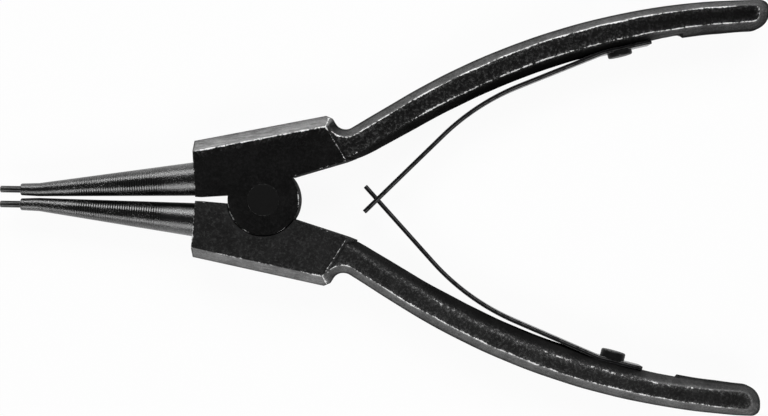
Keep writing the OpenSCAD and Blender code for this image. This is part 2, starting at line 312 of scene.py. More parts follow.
def headGrids(off):
    h, m = half, headMarks
    levels = edgeLevels(midHeight, h["headEdge"])
    z, draft, inset, worn, close = fullLevels(levels, np.array([1, 1]) * h["lapGap"] / 2)
    ring = headRing(off, draft, inset)
    # wear of the edge, gloss of the flank and grinding of the flank, stretch by stretch
    edgeWear = np.repeat([0.3, 0.0, 0.4, 0.8, 1.0, off["crest"], off["front"]], headCounts)
    wallSheen = np.repeat([0.0, 0.0, 0.0, off["step"], 0.7, 0.8, 0.2], headCounts)
    ground = np.repeat([0.0, 0.0, 0.0, 0.15, 0.8, 1.0, 0.2], headCounts) * off["band"]
    wallWear = np.zeros(ring.shape[1])
    wallWear[sum(headCounts[:4]) + 1] = m["ridge"]  # ridge down the middle of the corner flat
    height = np.abs(z)[:, None]
    wall = ramp(h["headEdge"] - inset, 0, h["headEdge"])[:, None]
    wear = np.maximum(worn[:, None] * edgeWear, wall * wallWear * (height > m["ridgeFrom"]))
    # the parting edge stays dark
    rim = m["rimDark"] + (1 - m["rimDark"]) * ramp(height, h["land"], m["rimOver"])
    sheen = faceSheen * (1 - wall) + wall * wallSheen * rim
    # the outer band is ground brighter towards the face
    rise = ramp(height, h["land"], midHeight - h["land"])
    onWall = m["groundLow"] + m["groundGain"] * rise
    rub = np.where(wall > 0.5, onWall, m["faceRub"] * close[:, None]) * ground
    grit = off["grit"] * (1 - wall)
    reach = sum(headCounts[:3])
    ends = dict(wear=0.0, sheen=faceSheen, grit=off["grit"])
    return [gridOf(lift(ring, z), wrap=True, wear=wear, sheen=sheen, rub=rub, grit=grit),
            faceGrid(ring[-1], midHeight, reach, m["faceRows"], **ends),
            faceGrid(ring[0], -midHeight, reach, m["faceRows"], flip=True, **ends)]


lug = dict(faceRows=8, edgeRows=7, columns=180, wear=0.5)


def lugGrid(off):
    # round lug lying over the other half: radius and height of each row, its edge rounded where it is free
    h = half
    edge = h["headEdge"]
    turn = np.linspace(0, np.pi / 2, lug["edgeRows"])
    face = np.linspace(h["lugRadius"], edge + h["fade"], lug["faceRows"])
    inset = np.concatenate([face, edge * (1 - np.sin(turn)), [0, h["lugRadius"]]])
    z = np.concatenate([np.full(len(face), midHeight), midHeight - edge + edge * np.cos(turn),
                        np.full(2, h["lapGap"] / 2)])
    worn = np.concatenate([np.zeros(len(face)), np.sin(turn * 2).clip(0.4, 1), np.zeros(2)])
    angle = np.arange(lug["columns"]) * 2 * np.pi / lug["columns"]
    start = math.pi + h["frontTurn"] - math.asin(frontCorner()[2] / h["lugRadius"])
    end = h["reliefSlope"] + math.asin((h["reliefOffset"] + off["relief"]) / h["lugRadius"])
    shared = ((angle > end) & (angle < start)).astype(float)
    free = np.where((inset < edge + 1e-6)[:, None], 1 - shared, 1.0)
    radius = h["lugRadius"] - inset[:, None] * free
    points = np.stack([radius * np.cos(angle), radius * np.sin(angle), z[:, None] + 0 * radius], -1)
    wear = worn[:, None] * (1 - shared) * lug["wear"]
    sheen = faceSheen * (z[:, None] > midHeight - edge / 2)
    return gridOf(points, wrap=True, flip=True, wear=wear, sheen=sheen, rub=0.0, grit=off["grit"])


# the handle: points along its stretches, then lengths in millimetres; shrinks are shares of the draft
barCounts = dict(relief=10, bend=12, neck=28, bow=190, corner=16, wall=8, back=24, notch=22, inside=4)
bar = dict(
    slimFrom=(64, 76), slimOver=(12, 8), wanderFrom=2, wanderOver=8, wanderTo=66, wanderFade=12,
    rootOver=12, proudTo=46, proudFade=14, innerShrink=1.25, outerShrink=0.4,
    reliefAt=14.0, bendIn=3.5, bendOut=4.5, tuck=0.02, unevenness=0.15, bumpSize=5,
    bumpStep=0.45, bumpRise=1.4, bumpFrom=3, calmTail=8,
)
# gloss, wear and rubbing from 0 to 1, and the shares of the bow where they change
barMarks = dict(
    band=0.75, capDim=0.42, capFrom=-0.05, capOver=0.25, capWear=0.45, capRub=0.14,
    endSheen=0.3, endFrom=0.68, endOver=0.07, rimOver=1.1, outerRub=0.25,
    neckKept=0.45, neckOver=0.06, thinFrom=0.4, thinOver=0.5, crown=0.03, faceRows=11,
)


def slimmer(alpha):
    # share by which the last stretch of the bow is slimmer along the parting line
    run = alpha * half["bowRadius"]
    return sum(ramp(run, start, over) for start, over in zip(bar["slimFrom"], bar["slimOver"])) / 2


def wander(alpha):
    # 1 in the middle of the bow, where the edges of the face stand off the mean ones
    run = alpha * half["bowRadius"]
    start = ramp(run, bar["wanderFrom"], bar["wanderOver"])
    return start * (1 - ramp(run, bar["wanderTo"], bar["wanderFade"]))


def onBow(radius, alpha):
    # point at that radius and turn round the bow's centre
    h = half
    x = h["bowAt"] + radius * np.sin(alpha)
    y = h["handleOffset"] - h["bowRadius"] + radius * np.cos(alpha)
    return along(h["handleSlope"], x, y)


def innerBow(off, full, low, stop):
    # inner edge of the bow, cut flat under the rivet and then even with the bow where the spring sits
    h = half
    wide = h["handleWidth"] / 2
    alpha = stop[:, None] * np.arange(barCounts["bow"])[None] / barCounts["bow"]
    run = alpha * h["bowRadius"]
    proud = off["root"] + (off["bow"] - off["root"]) * ramp(run, 0, bar["rootOver"])
    proud = proud * (1 - ramp(run, bar["proudTo"], bar["proudFade"])) - off["heelIn"] * slimmer(alpha)
    radius = (h["bowRadius"] - wide + full)[:, None] - proud * low[:, None]
    radius = radius + off["crestIn"] * wander(alpha) * (1 - low[:, None])
    seat = h["bowRadius"] - wide + h["seatDepth"]
    fromRivet = seat * np.tan(alpha - h["seatTurn"])
    floor = np.minimum(seat / np.cos(alpha - h["seatTurn"]), h["bowRadius"] - wide + off["seatFloor"])
    cut = ramp(fromRivet, -h["seatBefore"], h["seatRamp"]) * (fromRivet < h["seatAfter"])
    return onBow(radius + np.maximum(floor - radius, 0) * cut, alpha)


def outerBow(off, full, low, stop):
    # outer edge of the bow, from the end back to its start
    h = half
    alpha = stop[:, None] * (1 - np.arange(barCounts["bow"])[None] / barCounts["bow"])
    radius = (h["bowRadius"] + h["handleWidth"] / 2 - full)[:, None]
    radius = radius - off["heelOut"] * slimmer(alpha) * low[:, None]
    return onBow(radius - off["crestOut"] * wander(alpha) * (1 - low[:, None]), alpha)


def barRing(off, draft, inset):
    # each level's ring leaves the head along the relief, follows the inner edge and the bow to the end,
    # comes back along the outer edge and runs out round the notch into the shoulder
    h, c = half, barCounts
    full = draft + inset
    low = np.clip(1 - full / full.max(), 0, 1)  # 1 along the parting line, 0 on the face
    wide = h["handleWidth"] / 2
    slope = h["handleSlope"]
    endTurn = slope - h["bowTurn"]

    def atEnd(s, n):
        return onBow(h["bowRadius"], h["bowTurn"]) + along(endTurn, s, n)

    endAt = h["endReach"] + off["reach"] - h["endDraft"] * full
    inRound = h["endInner"] - bar["innerShrink"] * full
    outRound = h["endOuter"] - bar["outerShrink"] * full
    innerStop = h["bowTurn"] + (endAt - inRound) / (h["bowRadius"] - wide + full)
    outerStop = h["bowTurn"] + (endAt - outRound) / (h["bowRadius"] + wide - full)
    innerSide = wide - full - off["heelIn"] * low
    outerSide = wide - full - off["heelOut"] * low
    inCorner = atEnd(endAt - inRound, inRound - innerSide)
    outCorner = atEnd(endAt - outRound, outerSide - outRound)
    # the neck stays just inside the head's own walls
    reliefOut = h["reliefOffset"] + off["relief"] + inset + bar["tuck"]
    relief = along(h["reliefSlope"], bar["reliefAt"], reliefOut)
    neckLine = along(slope, h["shoulderAt"], h["handleOffset"] - wide + full - off["neck"] * low)
    neckStart = meet(relief, h["reliefSlope"], neckLine, slope)
    bendIn = neckStart - along(h["reliefSlope"], bar["bendIn"], 0.0)
    bendOut = neckStart + along(slope, bar["bendOut"], 0.0)
    inLine = along(slope, h["bowAt"], h["handleOffset"] - wide + full - off["root"] * low)
    notchAt = h["shoulderAt"] + h["notchRadius"]
    notch = along(slope, notchAt, h["handleOffset"] + wide + h["notchRadius"])
    outLine = along(slope, notchAt, h["handleOffset"] + wide - full)
    shoulder = along(slope, h["shoulderAt"] - full, h["handleOffset"] + wide + h["notchRadius"])
    within = shoulder + along(slope, -4.0, -1.0)  # well inside the head
    return np.concatenate([
        lineOf(relief, bendIn, c["relief"]),
        bendOf(bendIn, neckStart, bendOut, c["bend"]),
        lineOf(bendOut, inLine, c["neck"]),
        innerBow(off, full, low, innerStop),
        arcOf(inCorner[:, None], inRound, endTurn - math.pi / 2, endTurn, c["corner"]),
        lineOf(atEnd(endAt, inRound - innerSide), atEnd(endAt, outerSide - outRound), c["wall"]),
        arcOf(outCorner[:, None], outRound, endTurn, endTurn + math.pi / 2, c["corner"]),
        outerBow(off, full, low, outerStop),
        lineOf(onBow(h["bowRadius"] + wide - full, 0 * full), outLine, c["back"]),
        arcOf(notch, h["notchRadius"] + full, slope - math.pi / 2, slope - math.pi, c["notch"]),
        lineOf(shoulder, within, c["inside"]),
    ], 1)


def uneven(ring, z, seed):
    # forged unevenness: every ring is moved in and out a little along its own normal
    total = ring.shape[1]
    ahead = np.roll(ring, -1, 1) - np.roll(ring, 1, 1)
    length = np.linalg.norm(ahead, axis=-1, keepdims=True).clip(1e-6)
    normal = np.stack([ahead[..., 1], -ahead[..., 0]], -1) / length
    place = np.arange(total)
    neckAt = barCounts["relief"] + barCounts["bend"]
    calm = (place > neckAt) & (place < total - barCounts["inside"] - bar["calmTail"])
    run = np.linspace(0, total * bar["bumpStep"], total)[None]
    bumps = bar["unevenness"] * wave(run, z[:, None] * bar["bumpRise"], seed, bar["bumpSize"])
    bumps = bumps * calm * ramp(np.abs(z[:, None]), 0, bar["bumpFrom"])
    return ring + normal * bumps[..., None]


def barGrids(off, seed):
    h, c, m = half, barCounts, barMarks
    z, draft, inset, worn, close = fullLevels(edgeLevels(h["handleHalf"], h["barEdge"]), np.array([0.0]))
    ring = uneven(barRing(off, draft, inset), z, seed)
    total = ring.shape[1]
    count = total // 2
    place = np.arange(total)
    neckEnd = c["relief"] + c["bend"] + c["neck"]
    endPlace = neckEnd + c["bow"] + 2 * c["corner"] + c["wall"]
    outside = (place > count - c["wall"] / 2).astype(float)
    wall = ramp(h["barEdge"] - inset, 0, h["barEdge"])[:, None]
    rim = ramp(np.abs(z), h["land"], m["rimOver"])[:, None]
    # the band is dimmer and speckled round the end, darker at the notch; the inner flank shines at its end
    cap = outside * (1 - ramp(place, endPlace + m["capFrom"] * c["bow"], m["capOver"] * c["bow"]))
    notchShade = 1 + (off["step"] - 1) * ramp(place, total - c["inside"] - c["notch"], c["notch"])
    outerSheen = outside * notchShade * (m["band"] - m["capDim"] * cap)
    endShade = ramp(place, neckEnd + m["endFrom"] * c["bow"], m["endOver"] * c["bow"]) * (place <= count)
    sheen = faceSheen * (1 - wall) + wall * rim * np.maximum(outerSheen, m["endSheen"] * endShade)
    # the inner edge keeps more of its paint at the neck
    kept = ramp(place, neckEnd - c["neck"] / 2, c["neck"] / 2 + m["neckOver"] * c["bow"])
    kept = m["neckKept"] + (1 - m["neckKept"]) * kept
    wear = worn[:, None] * np.where(outside > 0, 1 - m["capWear"] * cap, off["inner"] * kept)
    rub = close[:, None] * np.where(outside > 0, m["outerRub"], off["rub"] * kept)
    rub = rub + m["capRub"] * wall * rim * cap
    # the grit thins out along the handle
    inward = np.minimum(place, total - place)
    thin = ramp(inward, neckEnd + m["thinFrom"] * c["bow"], m["thinOver"] * c["bow"])
    gritty = 1 + (off["endGrit"] - 1) * thin
    ends = dict(crown=m["crown"], rub=(off["rub"], m["outerRub"]), wear=0.0, sheen=faceSheen,
                grit=gritty[:count + total % 2])
    return [gridOf(lift(ring, z), wrap=True, wear=wear, sheen=sheen, rub=rub, grit=(1 - wall) * gritty),
            faceGrid(ring[-1], h["handleHalf"], count, m["faceRows"], seed=seed, **ends),
            faceGrid(ring[0], -h["handleHalf"], count, m["faceRows"], seed=seed + 1, flip=True, **ends)]


# the turned jaws with their slim noses

jaw = dict(noseAt=57.3, noseRadius=1.4, noseLength=4.2, coneStart=1.56, coneRadius=3.95,
           tipOffset=1.8, jawOffset=4.85, root=2.5, edge=0.16, edgeRun=0.4,
           noseRows=14, coneRows=130, columns=96, noseWear=[0.5, 0.9, 1, 0.8, 0.6, 0.2],
           dull=0.95, dullFrom=0.7, dullOver=0.12, faint=0.65, faintOver=0.4)


def jawGrid(off):
    # circles across the long axis: their centre and radius follow straight lines, first nose, then cone
    j = jaw
    noseAt = -j["noseAt"]
    coneAt = j["noseLength"] - j["noseAt"]
    span = -half["headFront"] - coneAt
    # rows: three across the flat end, five round its edge, then nose and cone, and the root closes
    turn = np.linspace(0, np.pi / 2, 6)[1:]
    x = np.concatenate([
        np.full(3, noseAt), noseAt + j["edge"] * (1 - np.cos(turn)),
        np.linspace(noseAt + j["edgeRun"], coneAt, j["noseRows"])[1:],
        np.linspace(coneAt, coneAt + span + j["root"], j["coneRows"])[1:]])
    x = np.append(x, x[-1])
    nose = j["noseRadius"] + (x - noseAt) * (j["coneStart"] - j["noseRadius"]) / j["noseLength"]
    cone = j["coneStart"] + (x - coneAt) * (j["coneRadius"] - j["coneStart"]) / span
    radius = np.where(x < coneAt, nose, cone)
    flat = j["noseRadius"] - j["edge"]
    radius[:3] = np.array([0, 0.5, 1]) * flat
    radius[3:8] = flat + j["edge"] * np.sin(turn)
    radius[-1] = 0
    drift = np.maximum(x - coneAt, 0) * (j["jawOffset"] - j["tipOffset"]) / span
    centre = j["tipOffset"] + off["jaw"] + drift
    angle = np.arange(j["columns"]) * 2 * np.pi / j["columns"]
    points = np.stack([x[:, None] + 0 * angle, centre[:, None] + radius[:, None] * np.cos(angle),
                       radius[:, None] * np.sin(angle)], -1)
    worn = np.zeros(len(x))
    worn[3:9] = j["noseWear"]
    # the flank that faces the other jaw is dull, and the turning rings are fainter on the outer flank
    sheen = 1 - j["dull"] * ramp(-np.cos(angle), j["dullFrom"], j["dullOver"])
    rings = 1 - j["faint"] * ramp(np.cos(angle), 0, j["faintOver"])
    return gridOf(points, wrap=True, flip=True, wear=worn[:, None], sheen=sheen, rings=rings)


# the crossed leaf springs

spring = dict(thickness=1.05, width=4.4, rootLength=7.8,
              bendAt=3.4, bendAngle=math.radians(9.2), bendRadius=8.0,
              curveRadius=55.0, crossAt=26.3, crossRise=0.5, tipOver=4.2, edge=0.16, held=0.35,
              tongueWidth=1.8, tongueGap=0.3, tongueEase=0.9, tongueBefore=2, railLap=0.5,
              windowBehind=7.0, windowPast=2.6, rowLength=0.45, pathPoints=1200,
              tipAngle=dict(upper=math.radians(45), lower=math.radians(47.4)))


def springFrame():
    # seat of the spring on its handle: the bow's centre, the slope there and the radius of the seat
    h = half
    centre = along(h["handleSlope"], h["bowAt"], h["handleOffset"] - h["bowRadius"])
    return centre, h["handleSlope"] - h["seatTurn"], h["bowRadius"] - h["handleWidth"] / 2 + h["seatDepth"]


def springPath(side):
    # the slope is level on straight runs and grows evenly on bends; summing its steps gives the path
    g = spring
    centre, seatSlope, seatRadius = springFrame()
    middle = seatRadius - g["thickness"] / 2
    rootSlope = seatSlope + g["bendAngle"]
    tipSlope = g["tipAngle"][side]
    rootLength = g["rootLength"] + leftover[side]["strip"]
    cross = np.array([g["crossAt"], g["crossRise"] if side == "upper" else -g["crossRise"]])
    bend = centre + along(seatSlope, -g["bendAt"], middle)
    corner = meet(bend, rootSlope, cross, tipSlope)
    bendTangent = g["bendRadius"] * math.tan(g["bendAngle"] / 2)
    curveTangent = g["curveRadius"] * math.tan((tipSlope - rootSlope) / 2)
    runs = np.array([
        rootLength + g["bendAt"] - bendTangent,
        g["bendRadius"] * g["bendAngle"],
        np.linalg.norm(corner - bend) - bendTangent - curveTangent,
        g["curveRadius"] * (tipSlope - rootSlope),
        np.linalg.norm(cross - corner) - curveTangent + g["tipOver"]])
    knots = np.concatenate([[0], np.cumsum(runs)])
    s = np.linspace(0, knots[-1], g["pathPoints"])
    slope = np.interp(s, knots, [seatSlope, seatSlope, rootSlope, rootSlope, tipSlope, tipSlope])
    step = -heading(slope)
    moved = np.cumsum((step[1:] + step[:-1]) / 2 * np.diff(s)[:, None], 0)
    moved = np.concatenate([np.zeros((1, 2)), moved])
    return s, centre + along(seatSlope, rootLength, middle) + moved, slope


def stripGrid(path, first, last, low, high):
    # rounded oblong carried along the path between two lengths; low and high are its edges across the strip
    s, line, slope = path
    edge = spring["edge"]
    # both ends are rounded over three rows and close in a point
    ease = edge * np.array([1, 0.45, 0.12])
    turn = np.pi / 2 * np.array([0.3, 0.65])
    inner = np.linspace(first + edge, last - edge, max(int((last - first) / spring["rowLength"]), 6))
    run = np.concatenate([[first, first], first + edge - edge * np.cos(turn), inner,
                          last - edge + edge * np.cos(turn[::-1]), [last, last]])
    shrink = np.concatenate([[1], ease, np.zeros(len(inner)), ease[::-1], [1]])
    whole = np.ones(len(run))
    whole[[0, -1]] = 0
    at = np.stack([np.interp(run, s, line[:, k]) for k in (0, 1)], -1)
    lean = np.interp(run, s, slope)
    across = np.stack([-np.sin(lean), np.cos(lean)], -1)
    corner = heading(np.linspace(0, np.pi / 2, 5))
    quarters = [corner, corner[::-1] * [-1, 1], -corner, corner[::-1] * [1, -1]]
    signs = [[1, 1], [-1, 1], [-1, -1], [1, -1]]
    lowAt, highAt = (np.broadcast_to(v(run) if callable(v) else v, run.shape) for v in (low, high))
    core = edge * whole[:, None]

    def section(reach, k):
        # one coordinate of the rounded oblong, corner by corner
        reach = ((reach - shrink * whole) * whole)[:, None] - core
        return np.concatenate([reach * sign[k] + core * q[:, k] for q, sign in zip(quarters, signs)], 1)

    a = section(spring["thickness"] / 2, 0)
    b = section((highAt - lowAt) / 2, 1) + ((highAt + lowAt) / 2)[:, None]
    points = np.concatenate([at[:, None] + across[:, None] * a[..., None], b[..., None]], -1)
    # this wear also places the painted highlight: a lighter line on the face seen from above, next to the
    # inner edge
    rubAndHighlight = np.repeat([0.5, 1.7, 1.7, 0.5], 5)  # the edges on the inner side are rubbed the most
    worn = np.broadcast_to(np.tile([0.5, 1, 1, 1, 0.5], 4) * rubAndHighlight, a.shape)
    return gridOf(points, wrap=True, flip=True, wear=worn)


def springGrids(side):
    # upper strip: whole, then the tip, then two rails beside the window; lower strip: narrowed to a tongue
    g = spring
    path = springPath(side)
    end = path[0][-1]
    cross = end - g["tipOver"]
    wide = g["width"] / 2
    first, last = cross - g["windowBehind"], cross + g["windowPast"]
    if side == "lower":
        narrow = g["tongueWidth"] / 2 - wide
        neckAt = first - g["tongueBefore"]

        def edge(run):
            return wide + narrow * ramp(run, neckAt, g["tongueEase"])

        return [stripGrid(path, 0, end, lambda run: -edge(run), edge)]
    inside = g["tongueWidth"] / 2 + g["tongueGap"]
    railFirst, railLast = first - g["railLap"], last + g["railLap"]
    return [stripGrid(path, 0, first, -wide, wide),
            stripGrid(path, last, end, -wide, wide),
            stripGrid(path, railFirst, railLast, inside, wide),
            stripGrid(path, railFirst, railLast, -wide, -inside)]


def blendSpan(side):
    # two points at the mid-plane, in metres: a held share of the way from the strip's root towards the
    # crossing, and that point mirrored through the crossing
    way = -1 if side == "lower" else 1
    centre, slope, radius = springFrame()
    root = centre + along(slope, -spring["bendAt"], radius)
    cross = np.array([spring["crossAt"], spring["crossRise"]])
    startAt = np.array([root[0], way * root[1]])
    startAt = startAt + spring["held"] * (cross - startAt)
    endAt = 2 * cross - startAt
    return [(*(at * mm), midHeight * mm) for at in (startAt, endAt)]


# rivets and tip pins

rivet = dict(radius=2.85, height=1.12, edge=0.38, dome=0.08, shank=1.3, depth=4.0, steps=8, columns=64)
pivot = dict(radius=3.7, proud=0.03, edge=0.1, rim=[0.3, 0.8, 1, 0.8, 0.3], columns=96)
tip = dict(radius=0.8, length=4.9, edge=0.17, depth=3.0, steps=6, columns=48)


def rivetGrid(off):
    # low pan head with a rounded rim and a slight dome, on a shank that runs into the handle
    r = rivet
    centre, slope, radius = springFrame()
    seat = centre + along(slope, off["rivetAt"], radius - spring["thickness"])
    head = roundedEnd(r["radius"], r["height"] + off["rivet"], r["edge"], r["steps"])
    head[:, 0] += r["dome"] * (1 - (head[:, 1] / r["radius"]) ** 2)
    shank = [[0, r["radius"]], [0, r["shank"]], [-r["depth"], r["shank"]], [-r["depth"], 0]]
    worn = np.concatenate([np.zeros(3), np.sin(np.linspace(0, np.pi, r["steps"])), np.zeros(4)])
    axis = [math.sin(slope), -math.cos(slope), 0]
    return revolve(np.concatenate([head, shank]), [*seat, 0], axis, r["columns"], worn)


def pivotGrid():
    # both ends ground almost flush, their rims just broken
    p = pivot
    end = roundedEnd(p["radius"], midHeight + p["proud"], p["edge"], len(p["rim"]))
    profile = np.concatenate([end, (end * [-1, 1])[::-1]])
    worn = np.concatenate([np.zeros(3), p["rim"]])
    return revolve(profile, [0, 0, 0], [0, 0, 1], p["columns"], np.concatenate([worn, worn[::-1]]))


def tipGrid(off):
    # plain wire with a rounded end, its root inside the nose
    t = tip
    end = roundedEnd(t["radius"], t["length"], t["edge"], t["steps"])
    profile = np.concatenate([end, [[0, t["radius"]], [-t["depth"], t["radius"]], [-t["depth"], 0]]])
    worn = np.concatenate([[0.4, 0.4, 0.5], np.linspace(0.6, 1, t["steps"]), np.zeros(3)])
    origin = [-jaw["noseAt"], jaw["tipOffset"] + off["jaw"], 0]
    return revolve(profile, origin, [-1, 0, 0], t["columns"], worn)


# shader maths: a wire is one output socket, and sums and products of wires add Math nodes

class Wire:
    def __init__(self, tree, socket=None):
        self.tree = tree
        self.socket = socket

    def make(self, kind, settings=None, sockets=None, output=0):
        node = self.tree.nodes.new(kind)
        for key, value in (settings or {}).items():
            setattr(node, key, value)
        for key, value in (sockets or {}).items():
            if isinstance(value, Wire):
                self.tree.links.new(value.socket, node.inputs[key])
            else:
                node.inputs[key].default_value = value
        return Wire(self.tree, node.outputs[output] if node.outputs else None)

    def maths(self, operation, *terms):
        return self.make("ShaderNodeMath", {"operation": operation}, dict(enumerate(terms)))

    def __add__(self, other):
        return self.maths("ADD", self, other)

    def __radd__(self, other):
        return self.maths("ADD", other, self)

    def __sub__(self, other):
        return self.maths("SUBTRACT", self, other)

    def __rsub__(self, other):
        return self.maths("SUBTRACT", other, self)

    def __mul__(self, other):
        return self.maths("MULTIPLY", self, other)

    def __rmul__(self, other):
        return self.maths("MULTIPLY", other, self)

    def most(self, other):
        return self.maths("MAXIMUM", self, other)

    def mark(self, name):
        # value that the mesh carries under that name
        return self.make("ShaderNodeAttribute", {"attribute_name": name}, output="Fac")

    def between(self, low, high):
        # 0 at low, 1 at high, smooth in between; low may be the larger of the two
        return self.make("ShaderNodeMapRange", {"interpolation_type": "SMOOTHSTEP"},
                         {"Value": self, "From Min": low, "From Max": high})

    def noise(self, size, detail, roughness, stretch=(1, 1, 1)):
        # cloudy noise in object space; size is the width of its lumps in millimetres
        vector = self.make("ShaderNodeMapping", {}, {"Vector": self, "Scale": stretch})
        return self.make("ShaderNodeTexNoise", {}, {"Vector": vector, "Scale": 1 / (size * mm),
                                                    "Detail": detail, "Roughness": roughness})

    def mixed(self, a, b):
        # colour a where this is 0 and colour b where it is 1; 6, 7 and 2 are the node's colour sockets
        return self.make("ShaderNodeMix", {"data_type": "RGBA"}, {0: self, 6: a, 7: b}, 2)


def grey(level, tint=0.0):
    return (level, level, level * (1 + tint), 1)


def emptyTree(owner):
    owner.use_nodes = True
    owner.node_tree.nodes.clear()
    return Wire(owner.node_tree)


def newMaterial(name):
    # the material, its empty tree, the place on the piece and how worn it is there
    material = bpy.data.materials.new(name)
    tools = emptyTree(material)
    return material, tools, tools.make("ShaderNodeTexCoord", output="Object"), tools.mark("wear")


def layered(tools, *layers):
    # shaders laid over one another: each covers the ones before it where its cover is 1
    shader = None
    for cover, sockets in layers:
        top = tools.make("ShaderNodeBsdfPrincipled", {}, sockets)
        if cover is not None:
            top = tools.make("ShaderNodeMixShader", {}, {0: cover, 1: shader, 2: top})
        shader = top
    tools.make("ShaderNodeOutputMaterial", {}, {"Surface": shader})


def coat(tone, roughness, specular, normal, **others):
    return {"Base Color": tone, "Roughness": roughness, "Specular IOR Level": specular,
            "Normal": normal, **others}


def bareMetal(level, roughness, normal):
    return {"Base Color": grey(level), "Metallic": 1.0, "Roughness": roughness, "Normal": normal}


def bumped(tools, height, strength, depth):
    sockets = {"Strength": strength, "Distance": depth * mm, "Height": height}
    return tools.make("ShaderNodeBump", {}, sockets)


paint = dict(black=0.001, fleck=0.042, bare=0.85, grain=0.22, lumps=0.7, patches=4.0, depth=0.35,
             lumpBreak=2.4, patchBreak=2.2, grainBreak=1.8, wornBand=0.2, matt=0.04)


def forgedPaint(name, black, strength, wornAt):
    # black finish over forged steel: grey flecks where it is gritty, bare metal along rubbed edges
    material, tools, where, wear = newMaterial(name)
    sheen, rub, grit = (tools.mark(key) for key in ("sheen", "rub", "grit"))
    p = paint
    grain = where.noise(p["grain"], 3, 0.7)
    lumps = where.noise(p["lumps"], 4, 0.62)
    patches = where.noise(p["patches"], 3, 0.55)
    streaks = where.noise(p["lumps"], 3, 0.6, (0.1, 1, 1))
    # the noises break up the worn line
    broken = (lumps - 0.5) * p["lumpBreak"] + (patches - 0.5) * p["patchBreak"]
    broken = broken + (grain - 0.5) * p["grainBreak"]
    worn = (wear + broken).between(wornAt, wornAt + p["wornBand"]) * wear.between(0.02, 0.3)
    # flanks are rubbed in streaks, faces in spots
    spots = (grain * 0.5 + lumps * 0.5).between(0.5, 0.6)
    onFlank = sheen * (0.2 + 0.5 * streaks.between(0.3, 0.7))
    onFace = (1 - sheen) * (0.08 + 0.55 * spots)
    bare = worn.most(rub * (onFlank + onFace))
    fleck = grit * (0.05 + 0.95 * (grain * 0.4 + lumps * 0.6).between(0.48, 0.63))
    tone = (grain * 0.6 + patches * 0.6).between(0.35, 0.85).mixed(grey(black), grey(black * 3))
    tone = fleck.mixed(tone, grey(p["fleck"]))
    normal = bumped(tools, (grain * 0.5 + lumps) * (1 - 0.5 * sheen), strength, p["depth"])
    gloss = sheen * (0.4 + 0.5 * (grain * 0.5 + lumps * 0.25 + patches * 0.25).between(0.42, 0.58))
    layered(
        tools,
        (None, coat(tone, 0.55 + grain * 0.3, p["matt"], normal)),
        (gloss, coat(tone, 0.22 + grain * 0.2, 1.0, normal, IOR=1.8)),
        (bare, bareMetal(p["bare"], 0.3 + grain * 0.3, normal)))
    return material


turned = dict(black=0.002, bare=0.7, pitch=0.57, depth=0.13, ringsFrom=-47.0, ringsTo=-21.0, ringsFade=5.0,
              crust=0.36, broad=5.0, sparkle=0.24, tick=0.9, matt=0.04)


def turnedSteel(name):
    # blackened cone: halfway along, turning rings cut the gloss into ticks; a thin crust covers the rest
    material, tools, where, wear = newMaterial(name)
    sheen, cut = tools.mark("sheen"), tools.mark("rings")
    first, last, fade = (turned[key] * mm for key in ("ringsFrom", "ringsTo", "ringsFade"))
    place = tools.make("ShaderNodeSeparateXYZ", {}, {"Vector": where})
    # a wave texture of scale 1 has a period of a twentieth of a full turn
    rings = tools.make("ShaderNodeTexWave", {"bands_direction": "X", "wave_profile": "SIN"},
                       {"Vector": where, "Scale": math.tau / (20 * turned["pitch"] * mm),
                        "Distortion": 0.3, "Detail": 1.0})
    crust = where.noise(turned["crust"], 4, 0.7)
    broad = where.noise(turned["broad"], 2, 0.5, (0.35, 1, 1))
    shown = place.between(first, first + fade) * place.between(last, last - fade)
    shown = shown * broad.between(0.38, 0.5) * cut
    normal = bumped(tools, rings * shown * 0.4 + crust * (0.9 - shown * 0.5), 0.6, turned["depth"])
    # bright grains where the rings are faint, and bare metal at the nose's rim
    sparkle = where.noise(turned["sparkle"], 2, 0.5).between(0.59, 0.68)
    sparkle = sparkle * (1 - (0.5 + 0.5 * cut) * broad.between(0.42, 0.52))
    bare = (sparkle * 0.4).most(wear.between(0.75, 0.95) * crust.between(0.48, 0.6))
    cover = sheen * (0.7 + 0.3 * crust.between(0.4, 0.6))
    gloss = cover * (1 - turned["tick"] * shown * rings.between(0.57, 0.33))
    tone = crust.mixed(grey(turned["black"] * 0.4), grey(turned["black"] * 2.5))
    layered(
        tools,
        (None, coat(tone, 0.5, turned["matt"], normal)),
        (gloss, coat(tone, 0.1 + crust * 0.14, 0.9, normal, IOR=1.7)),
        (bare, bareMetal(turned["bare"], 0.6, normal)))
    return material


# line is the grey of the painted highlight line along the strip
blued = dict(dark=0.002, light=0.008, tint=0.1, line=0.1, bare=0.55, lines=0.5, cloud=1.4, depth=0.08)


def bluedStrip(name):
    # blackened strip steel: faint lines along it, rubbed edges and a painted highlight, a lighter grey
    # line, beside the inner one
    material, tools, where, wear = newMaterial(name)
    lines = where.noise(blued["lines"], 4, 0.6, (0.4, 0.4, 6))
    cloud = where.noise(blued["cloud"], 4, 0.65)
    bare = (wear * 0.6 + (cloud - 0.5) * 1.6).between(0.72, 1.0) * 0.2
    tone = lines.mixed(grey(blued["dark"], blued["tint"]), grey(blued["light"], blued["tint"]))
    # the wear grows across the strip, so a narrow window of it places the painted highlight, a lighter line
    # along the strip
    line = wear.between(0.56, 0.64) * wear.between(0.78, 0.7)
    tone = (line * (0.2 + 0.8 * cloud.between(0.35, 0.6))).mixed(tone, grey(blued["line"]))
    normal = bumped(tools, lines * 0.6 + cloud, 0.5, blued["depth"])
    layered(
        tools,
        (None, coat(tone, 0.18 + lines * 0.14, 0.5, normal)),
        (bare, bareMetal(blued["bare"], 0.32 + cloud * 0.2, normal)))
    return material


satin = dict(bare=0.6, grain=0.26, cloud=0.9, depth=0.1)


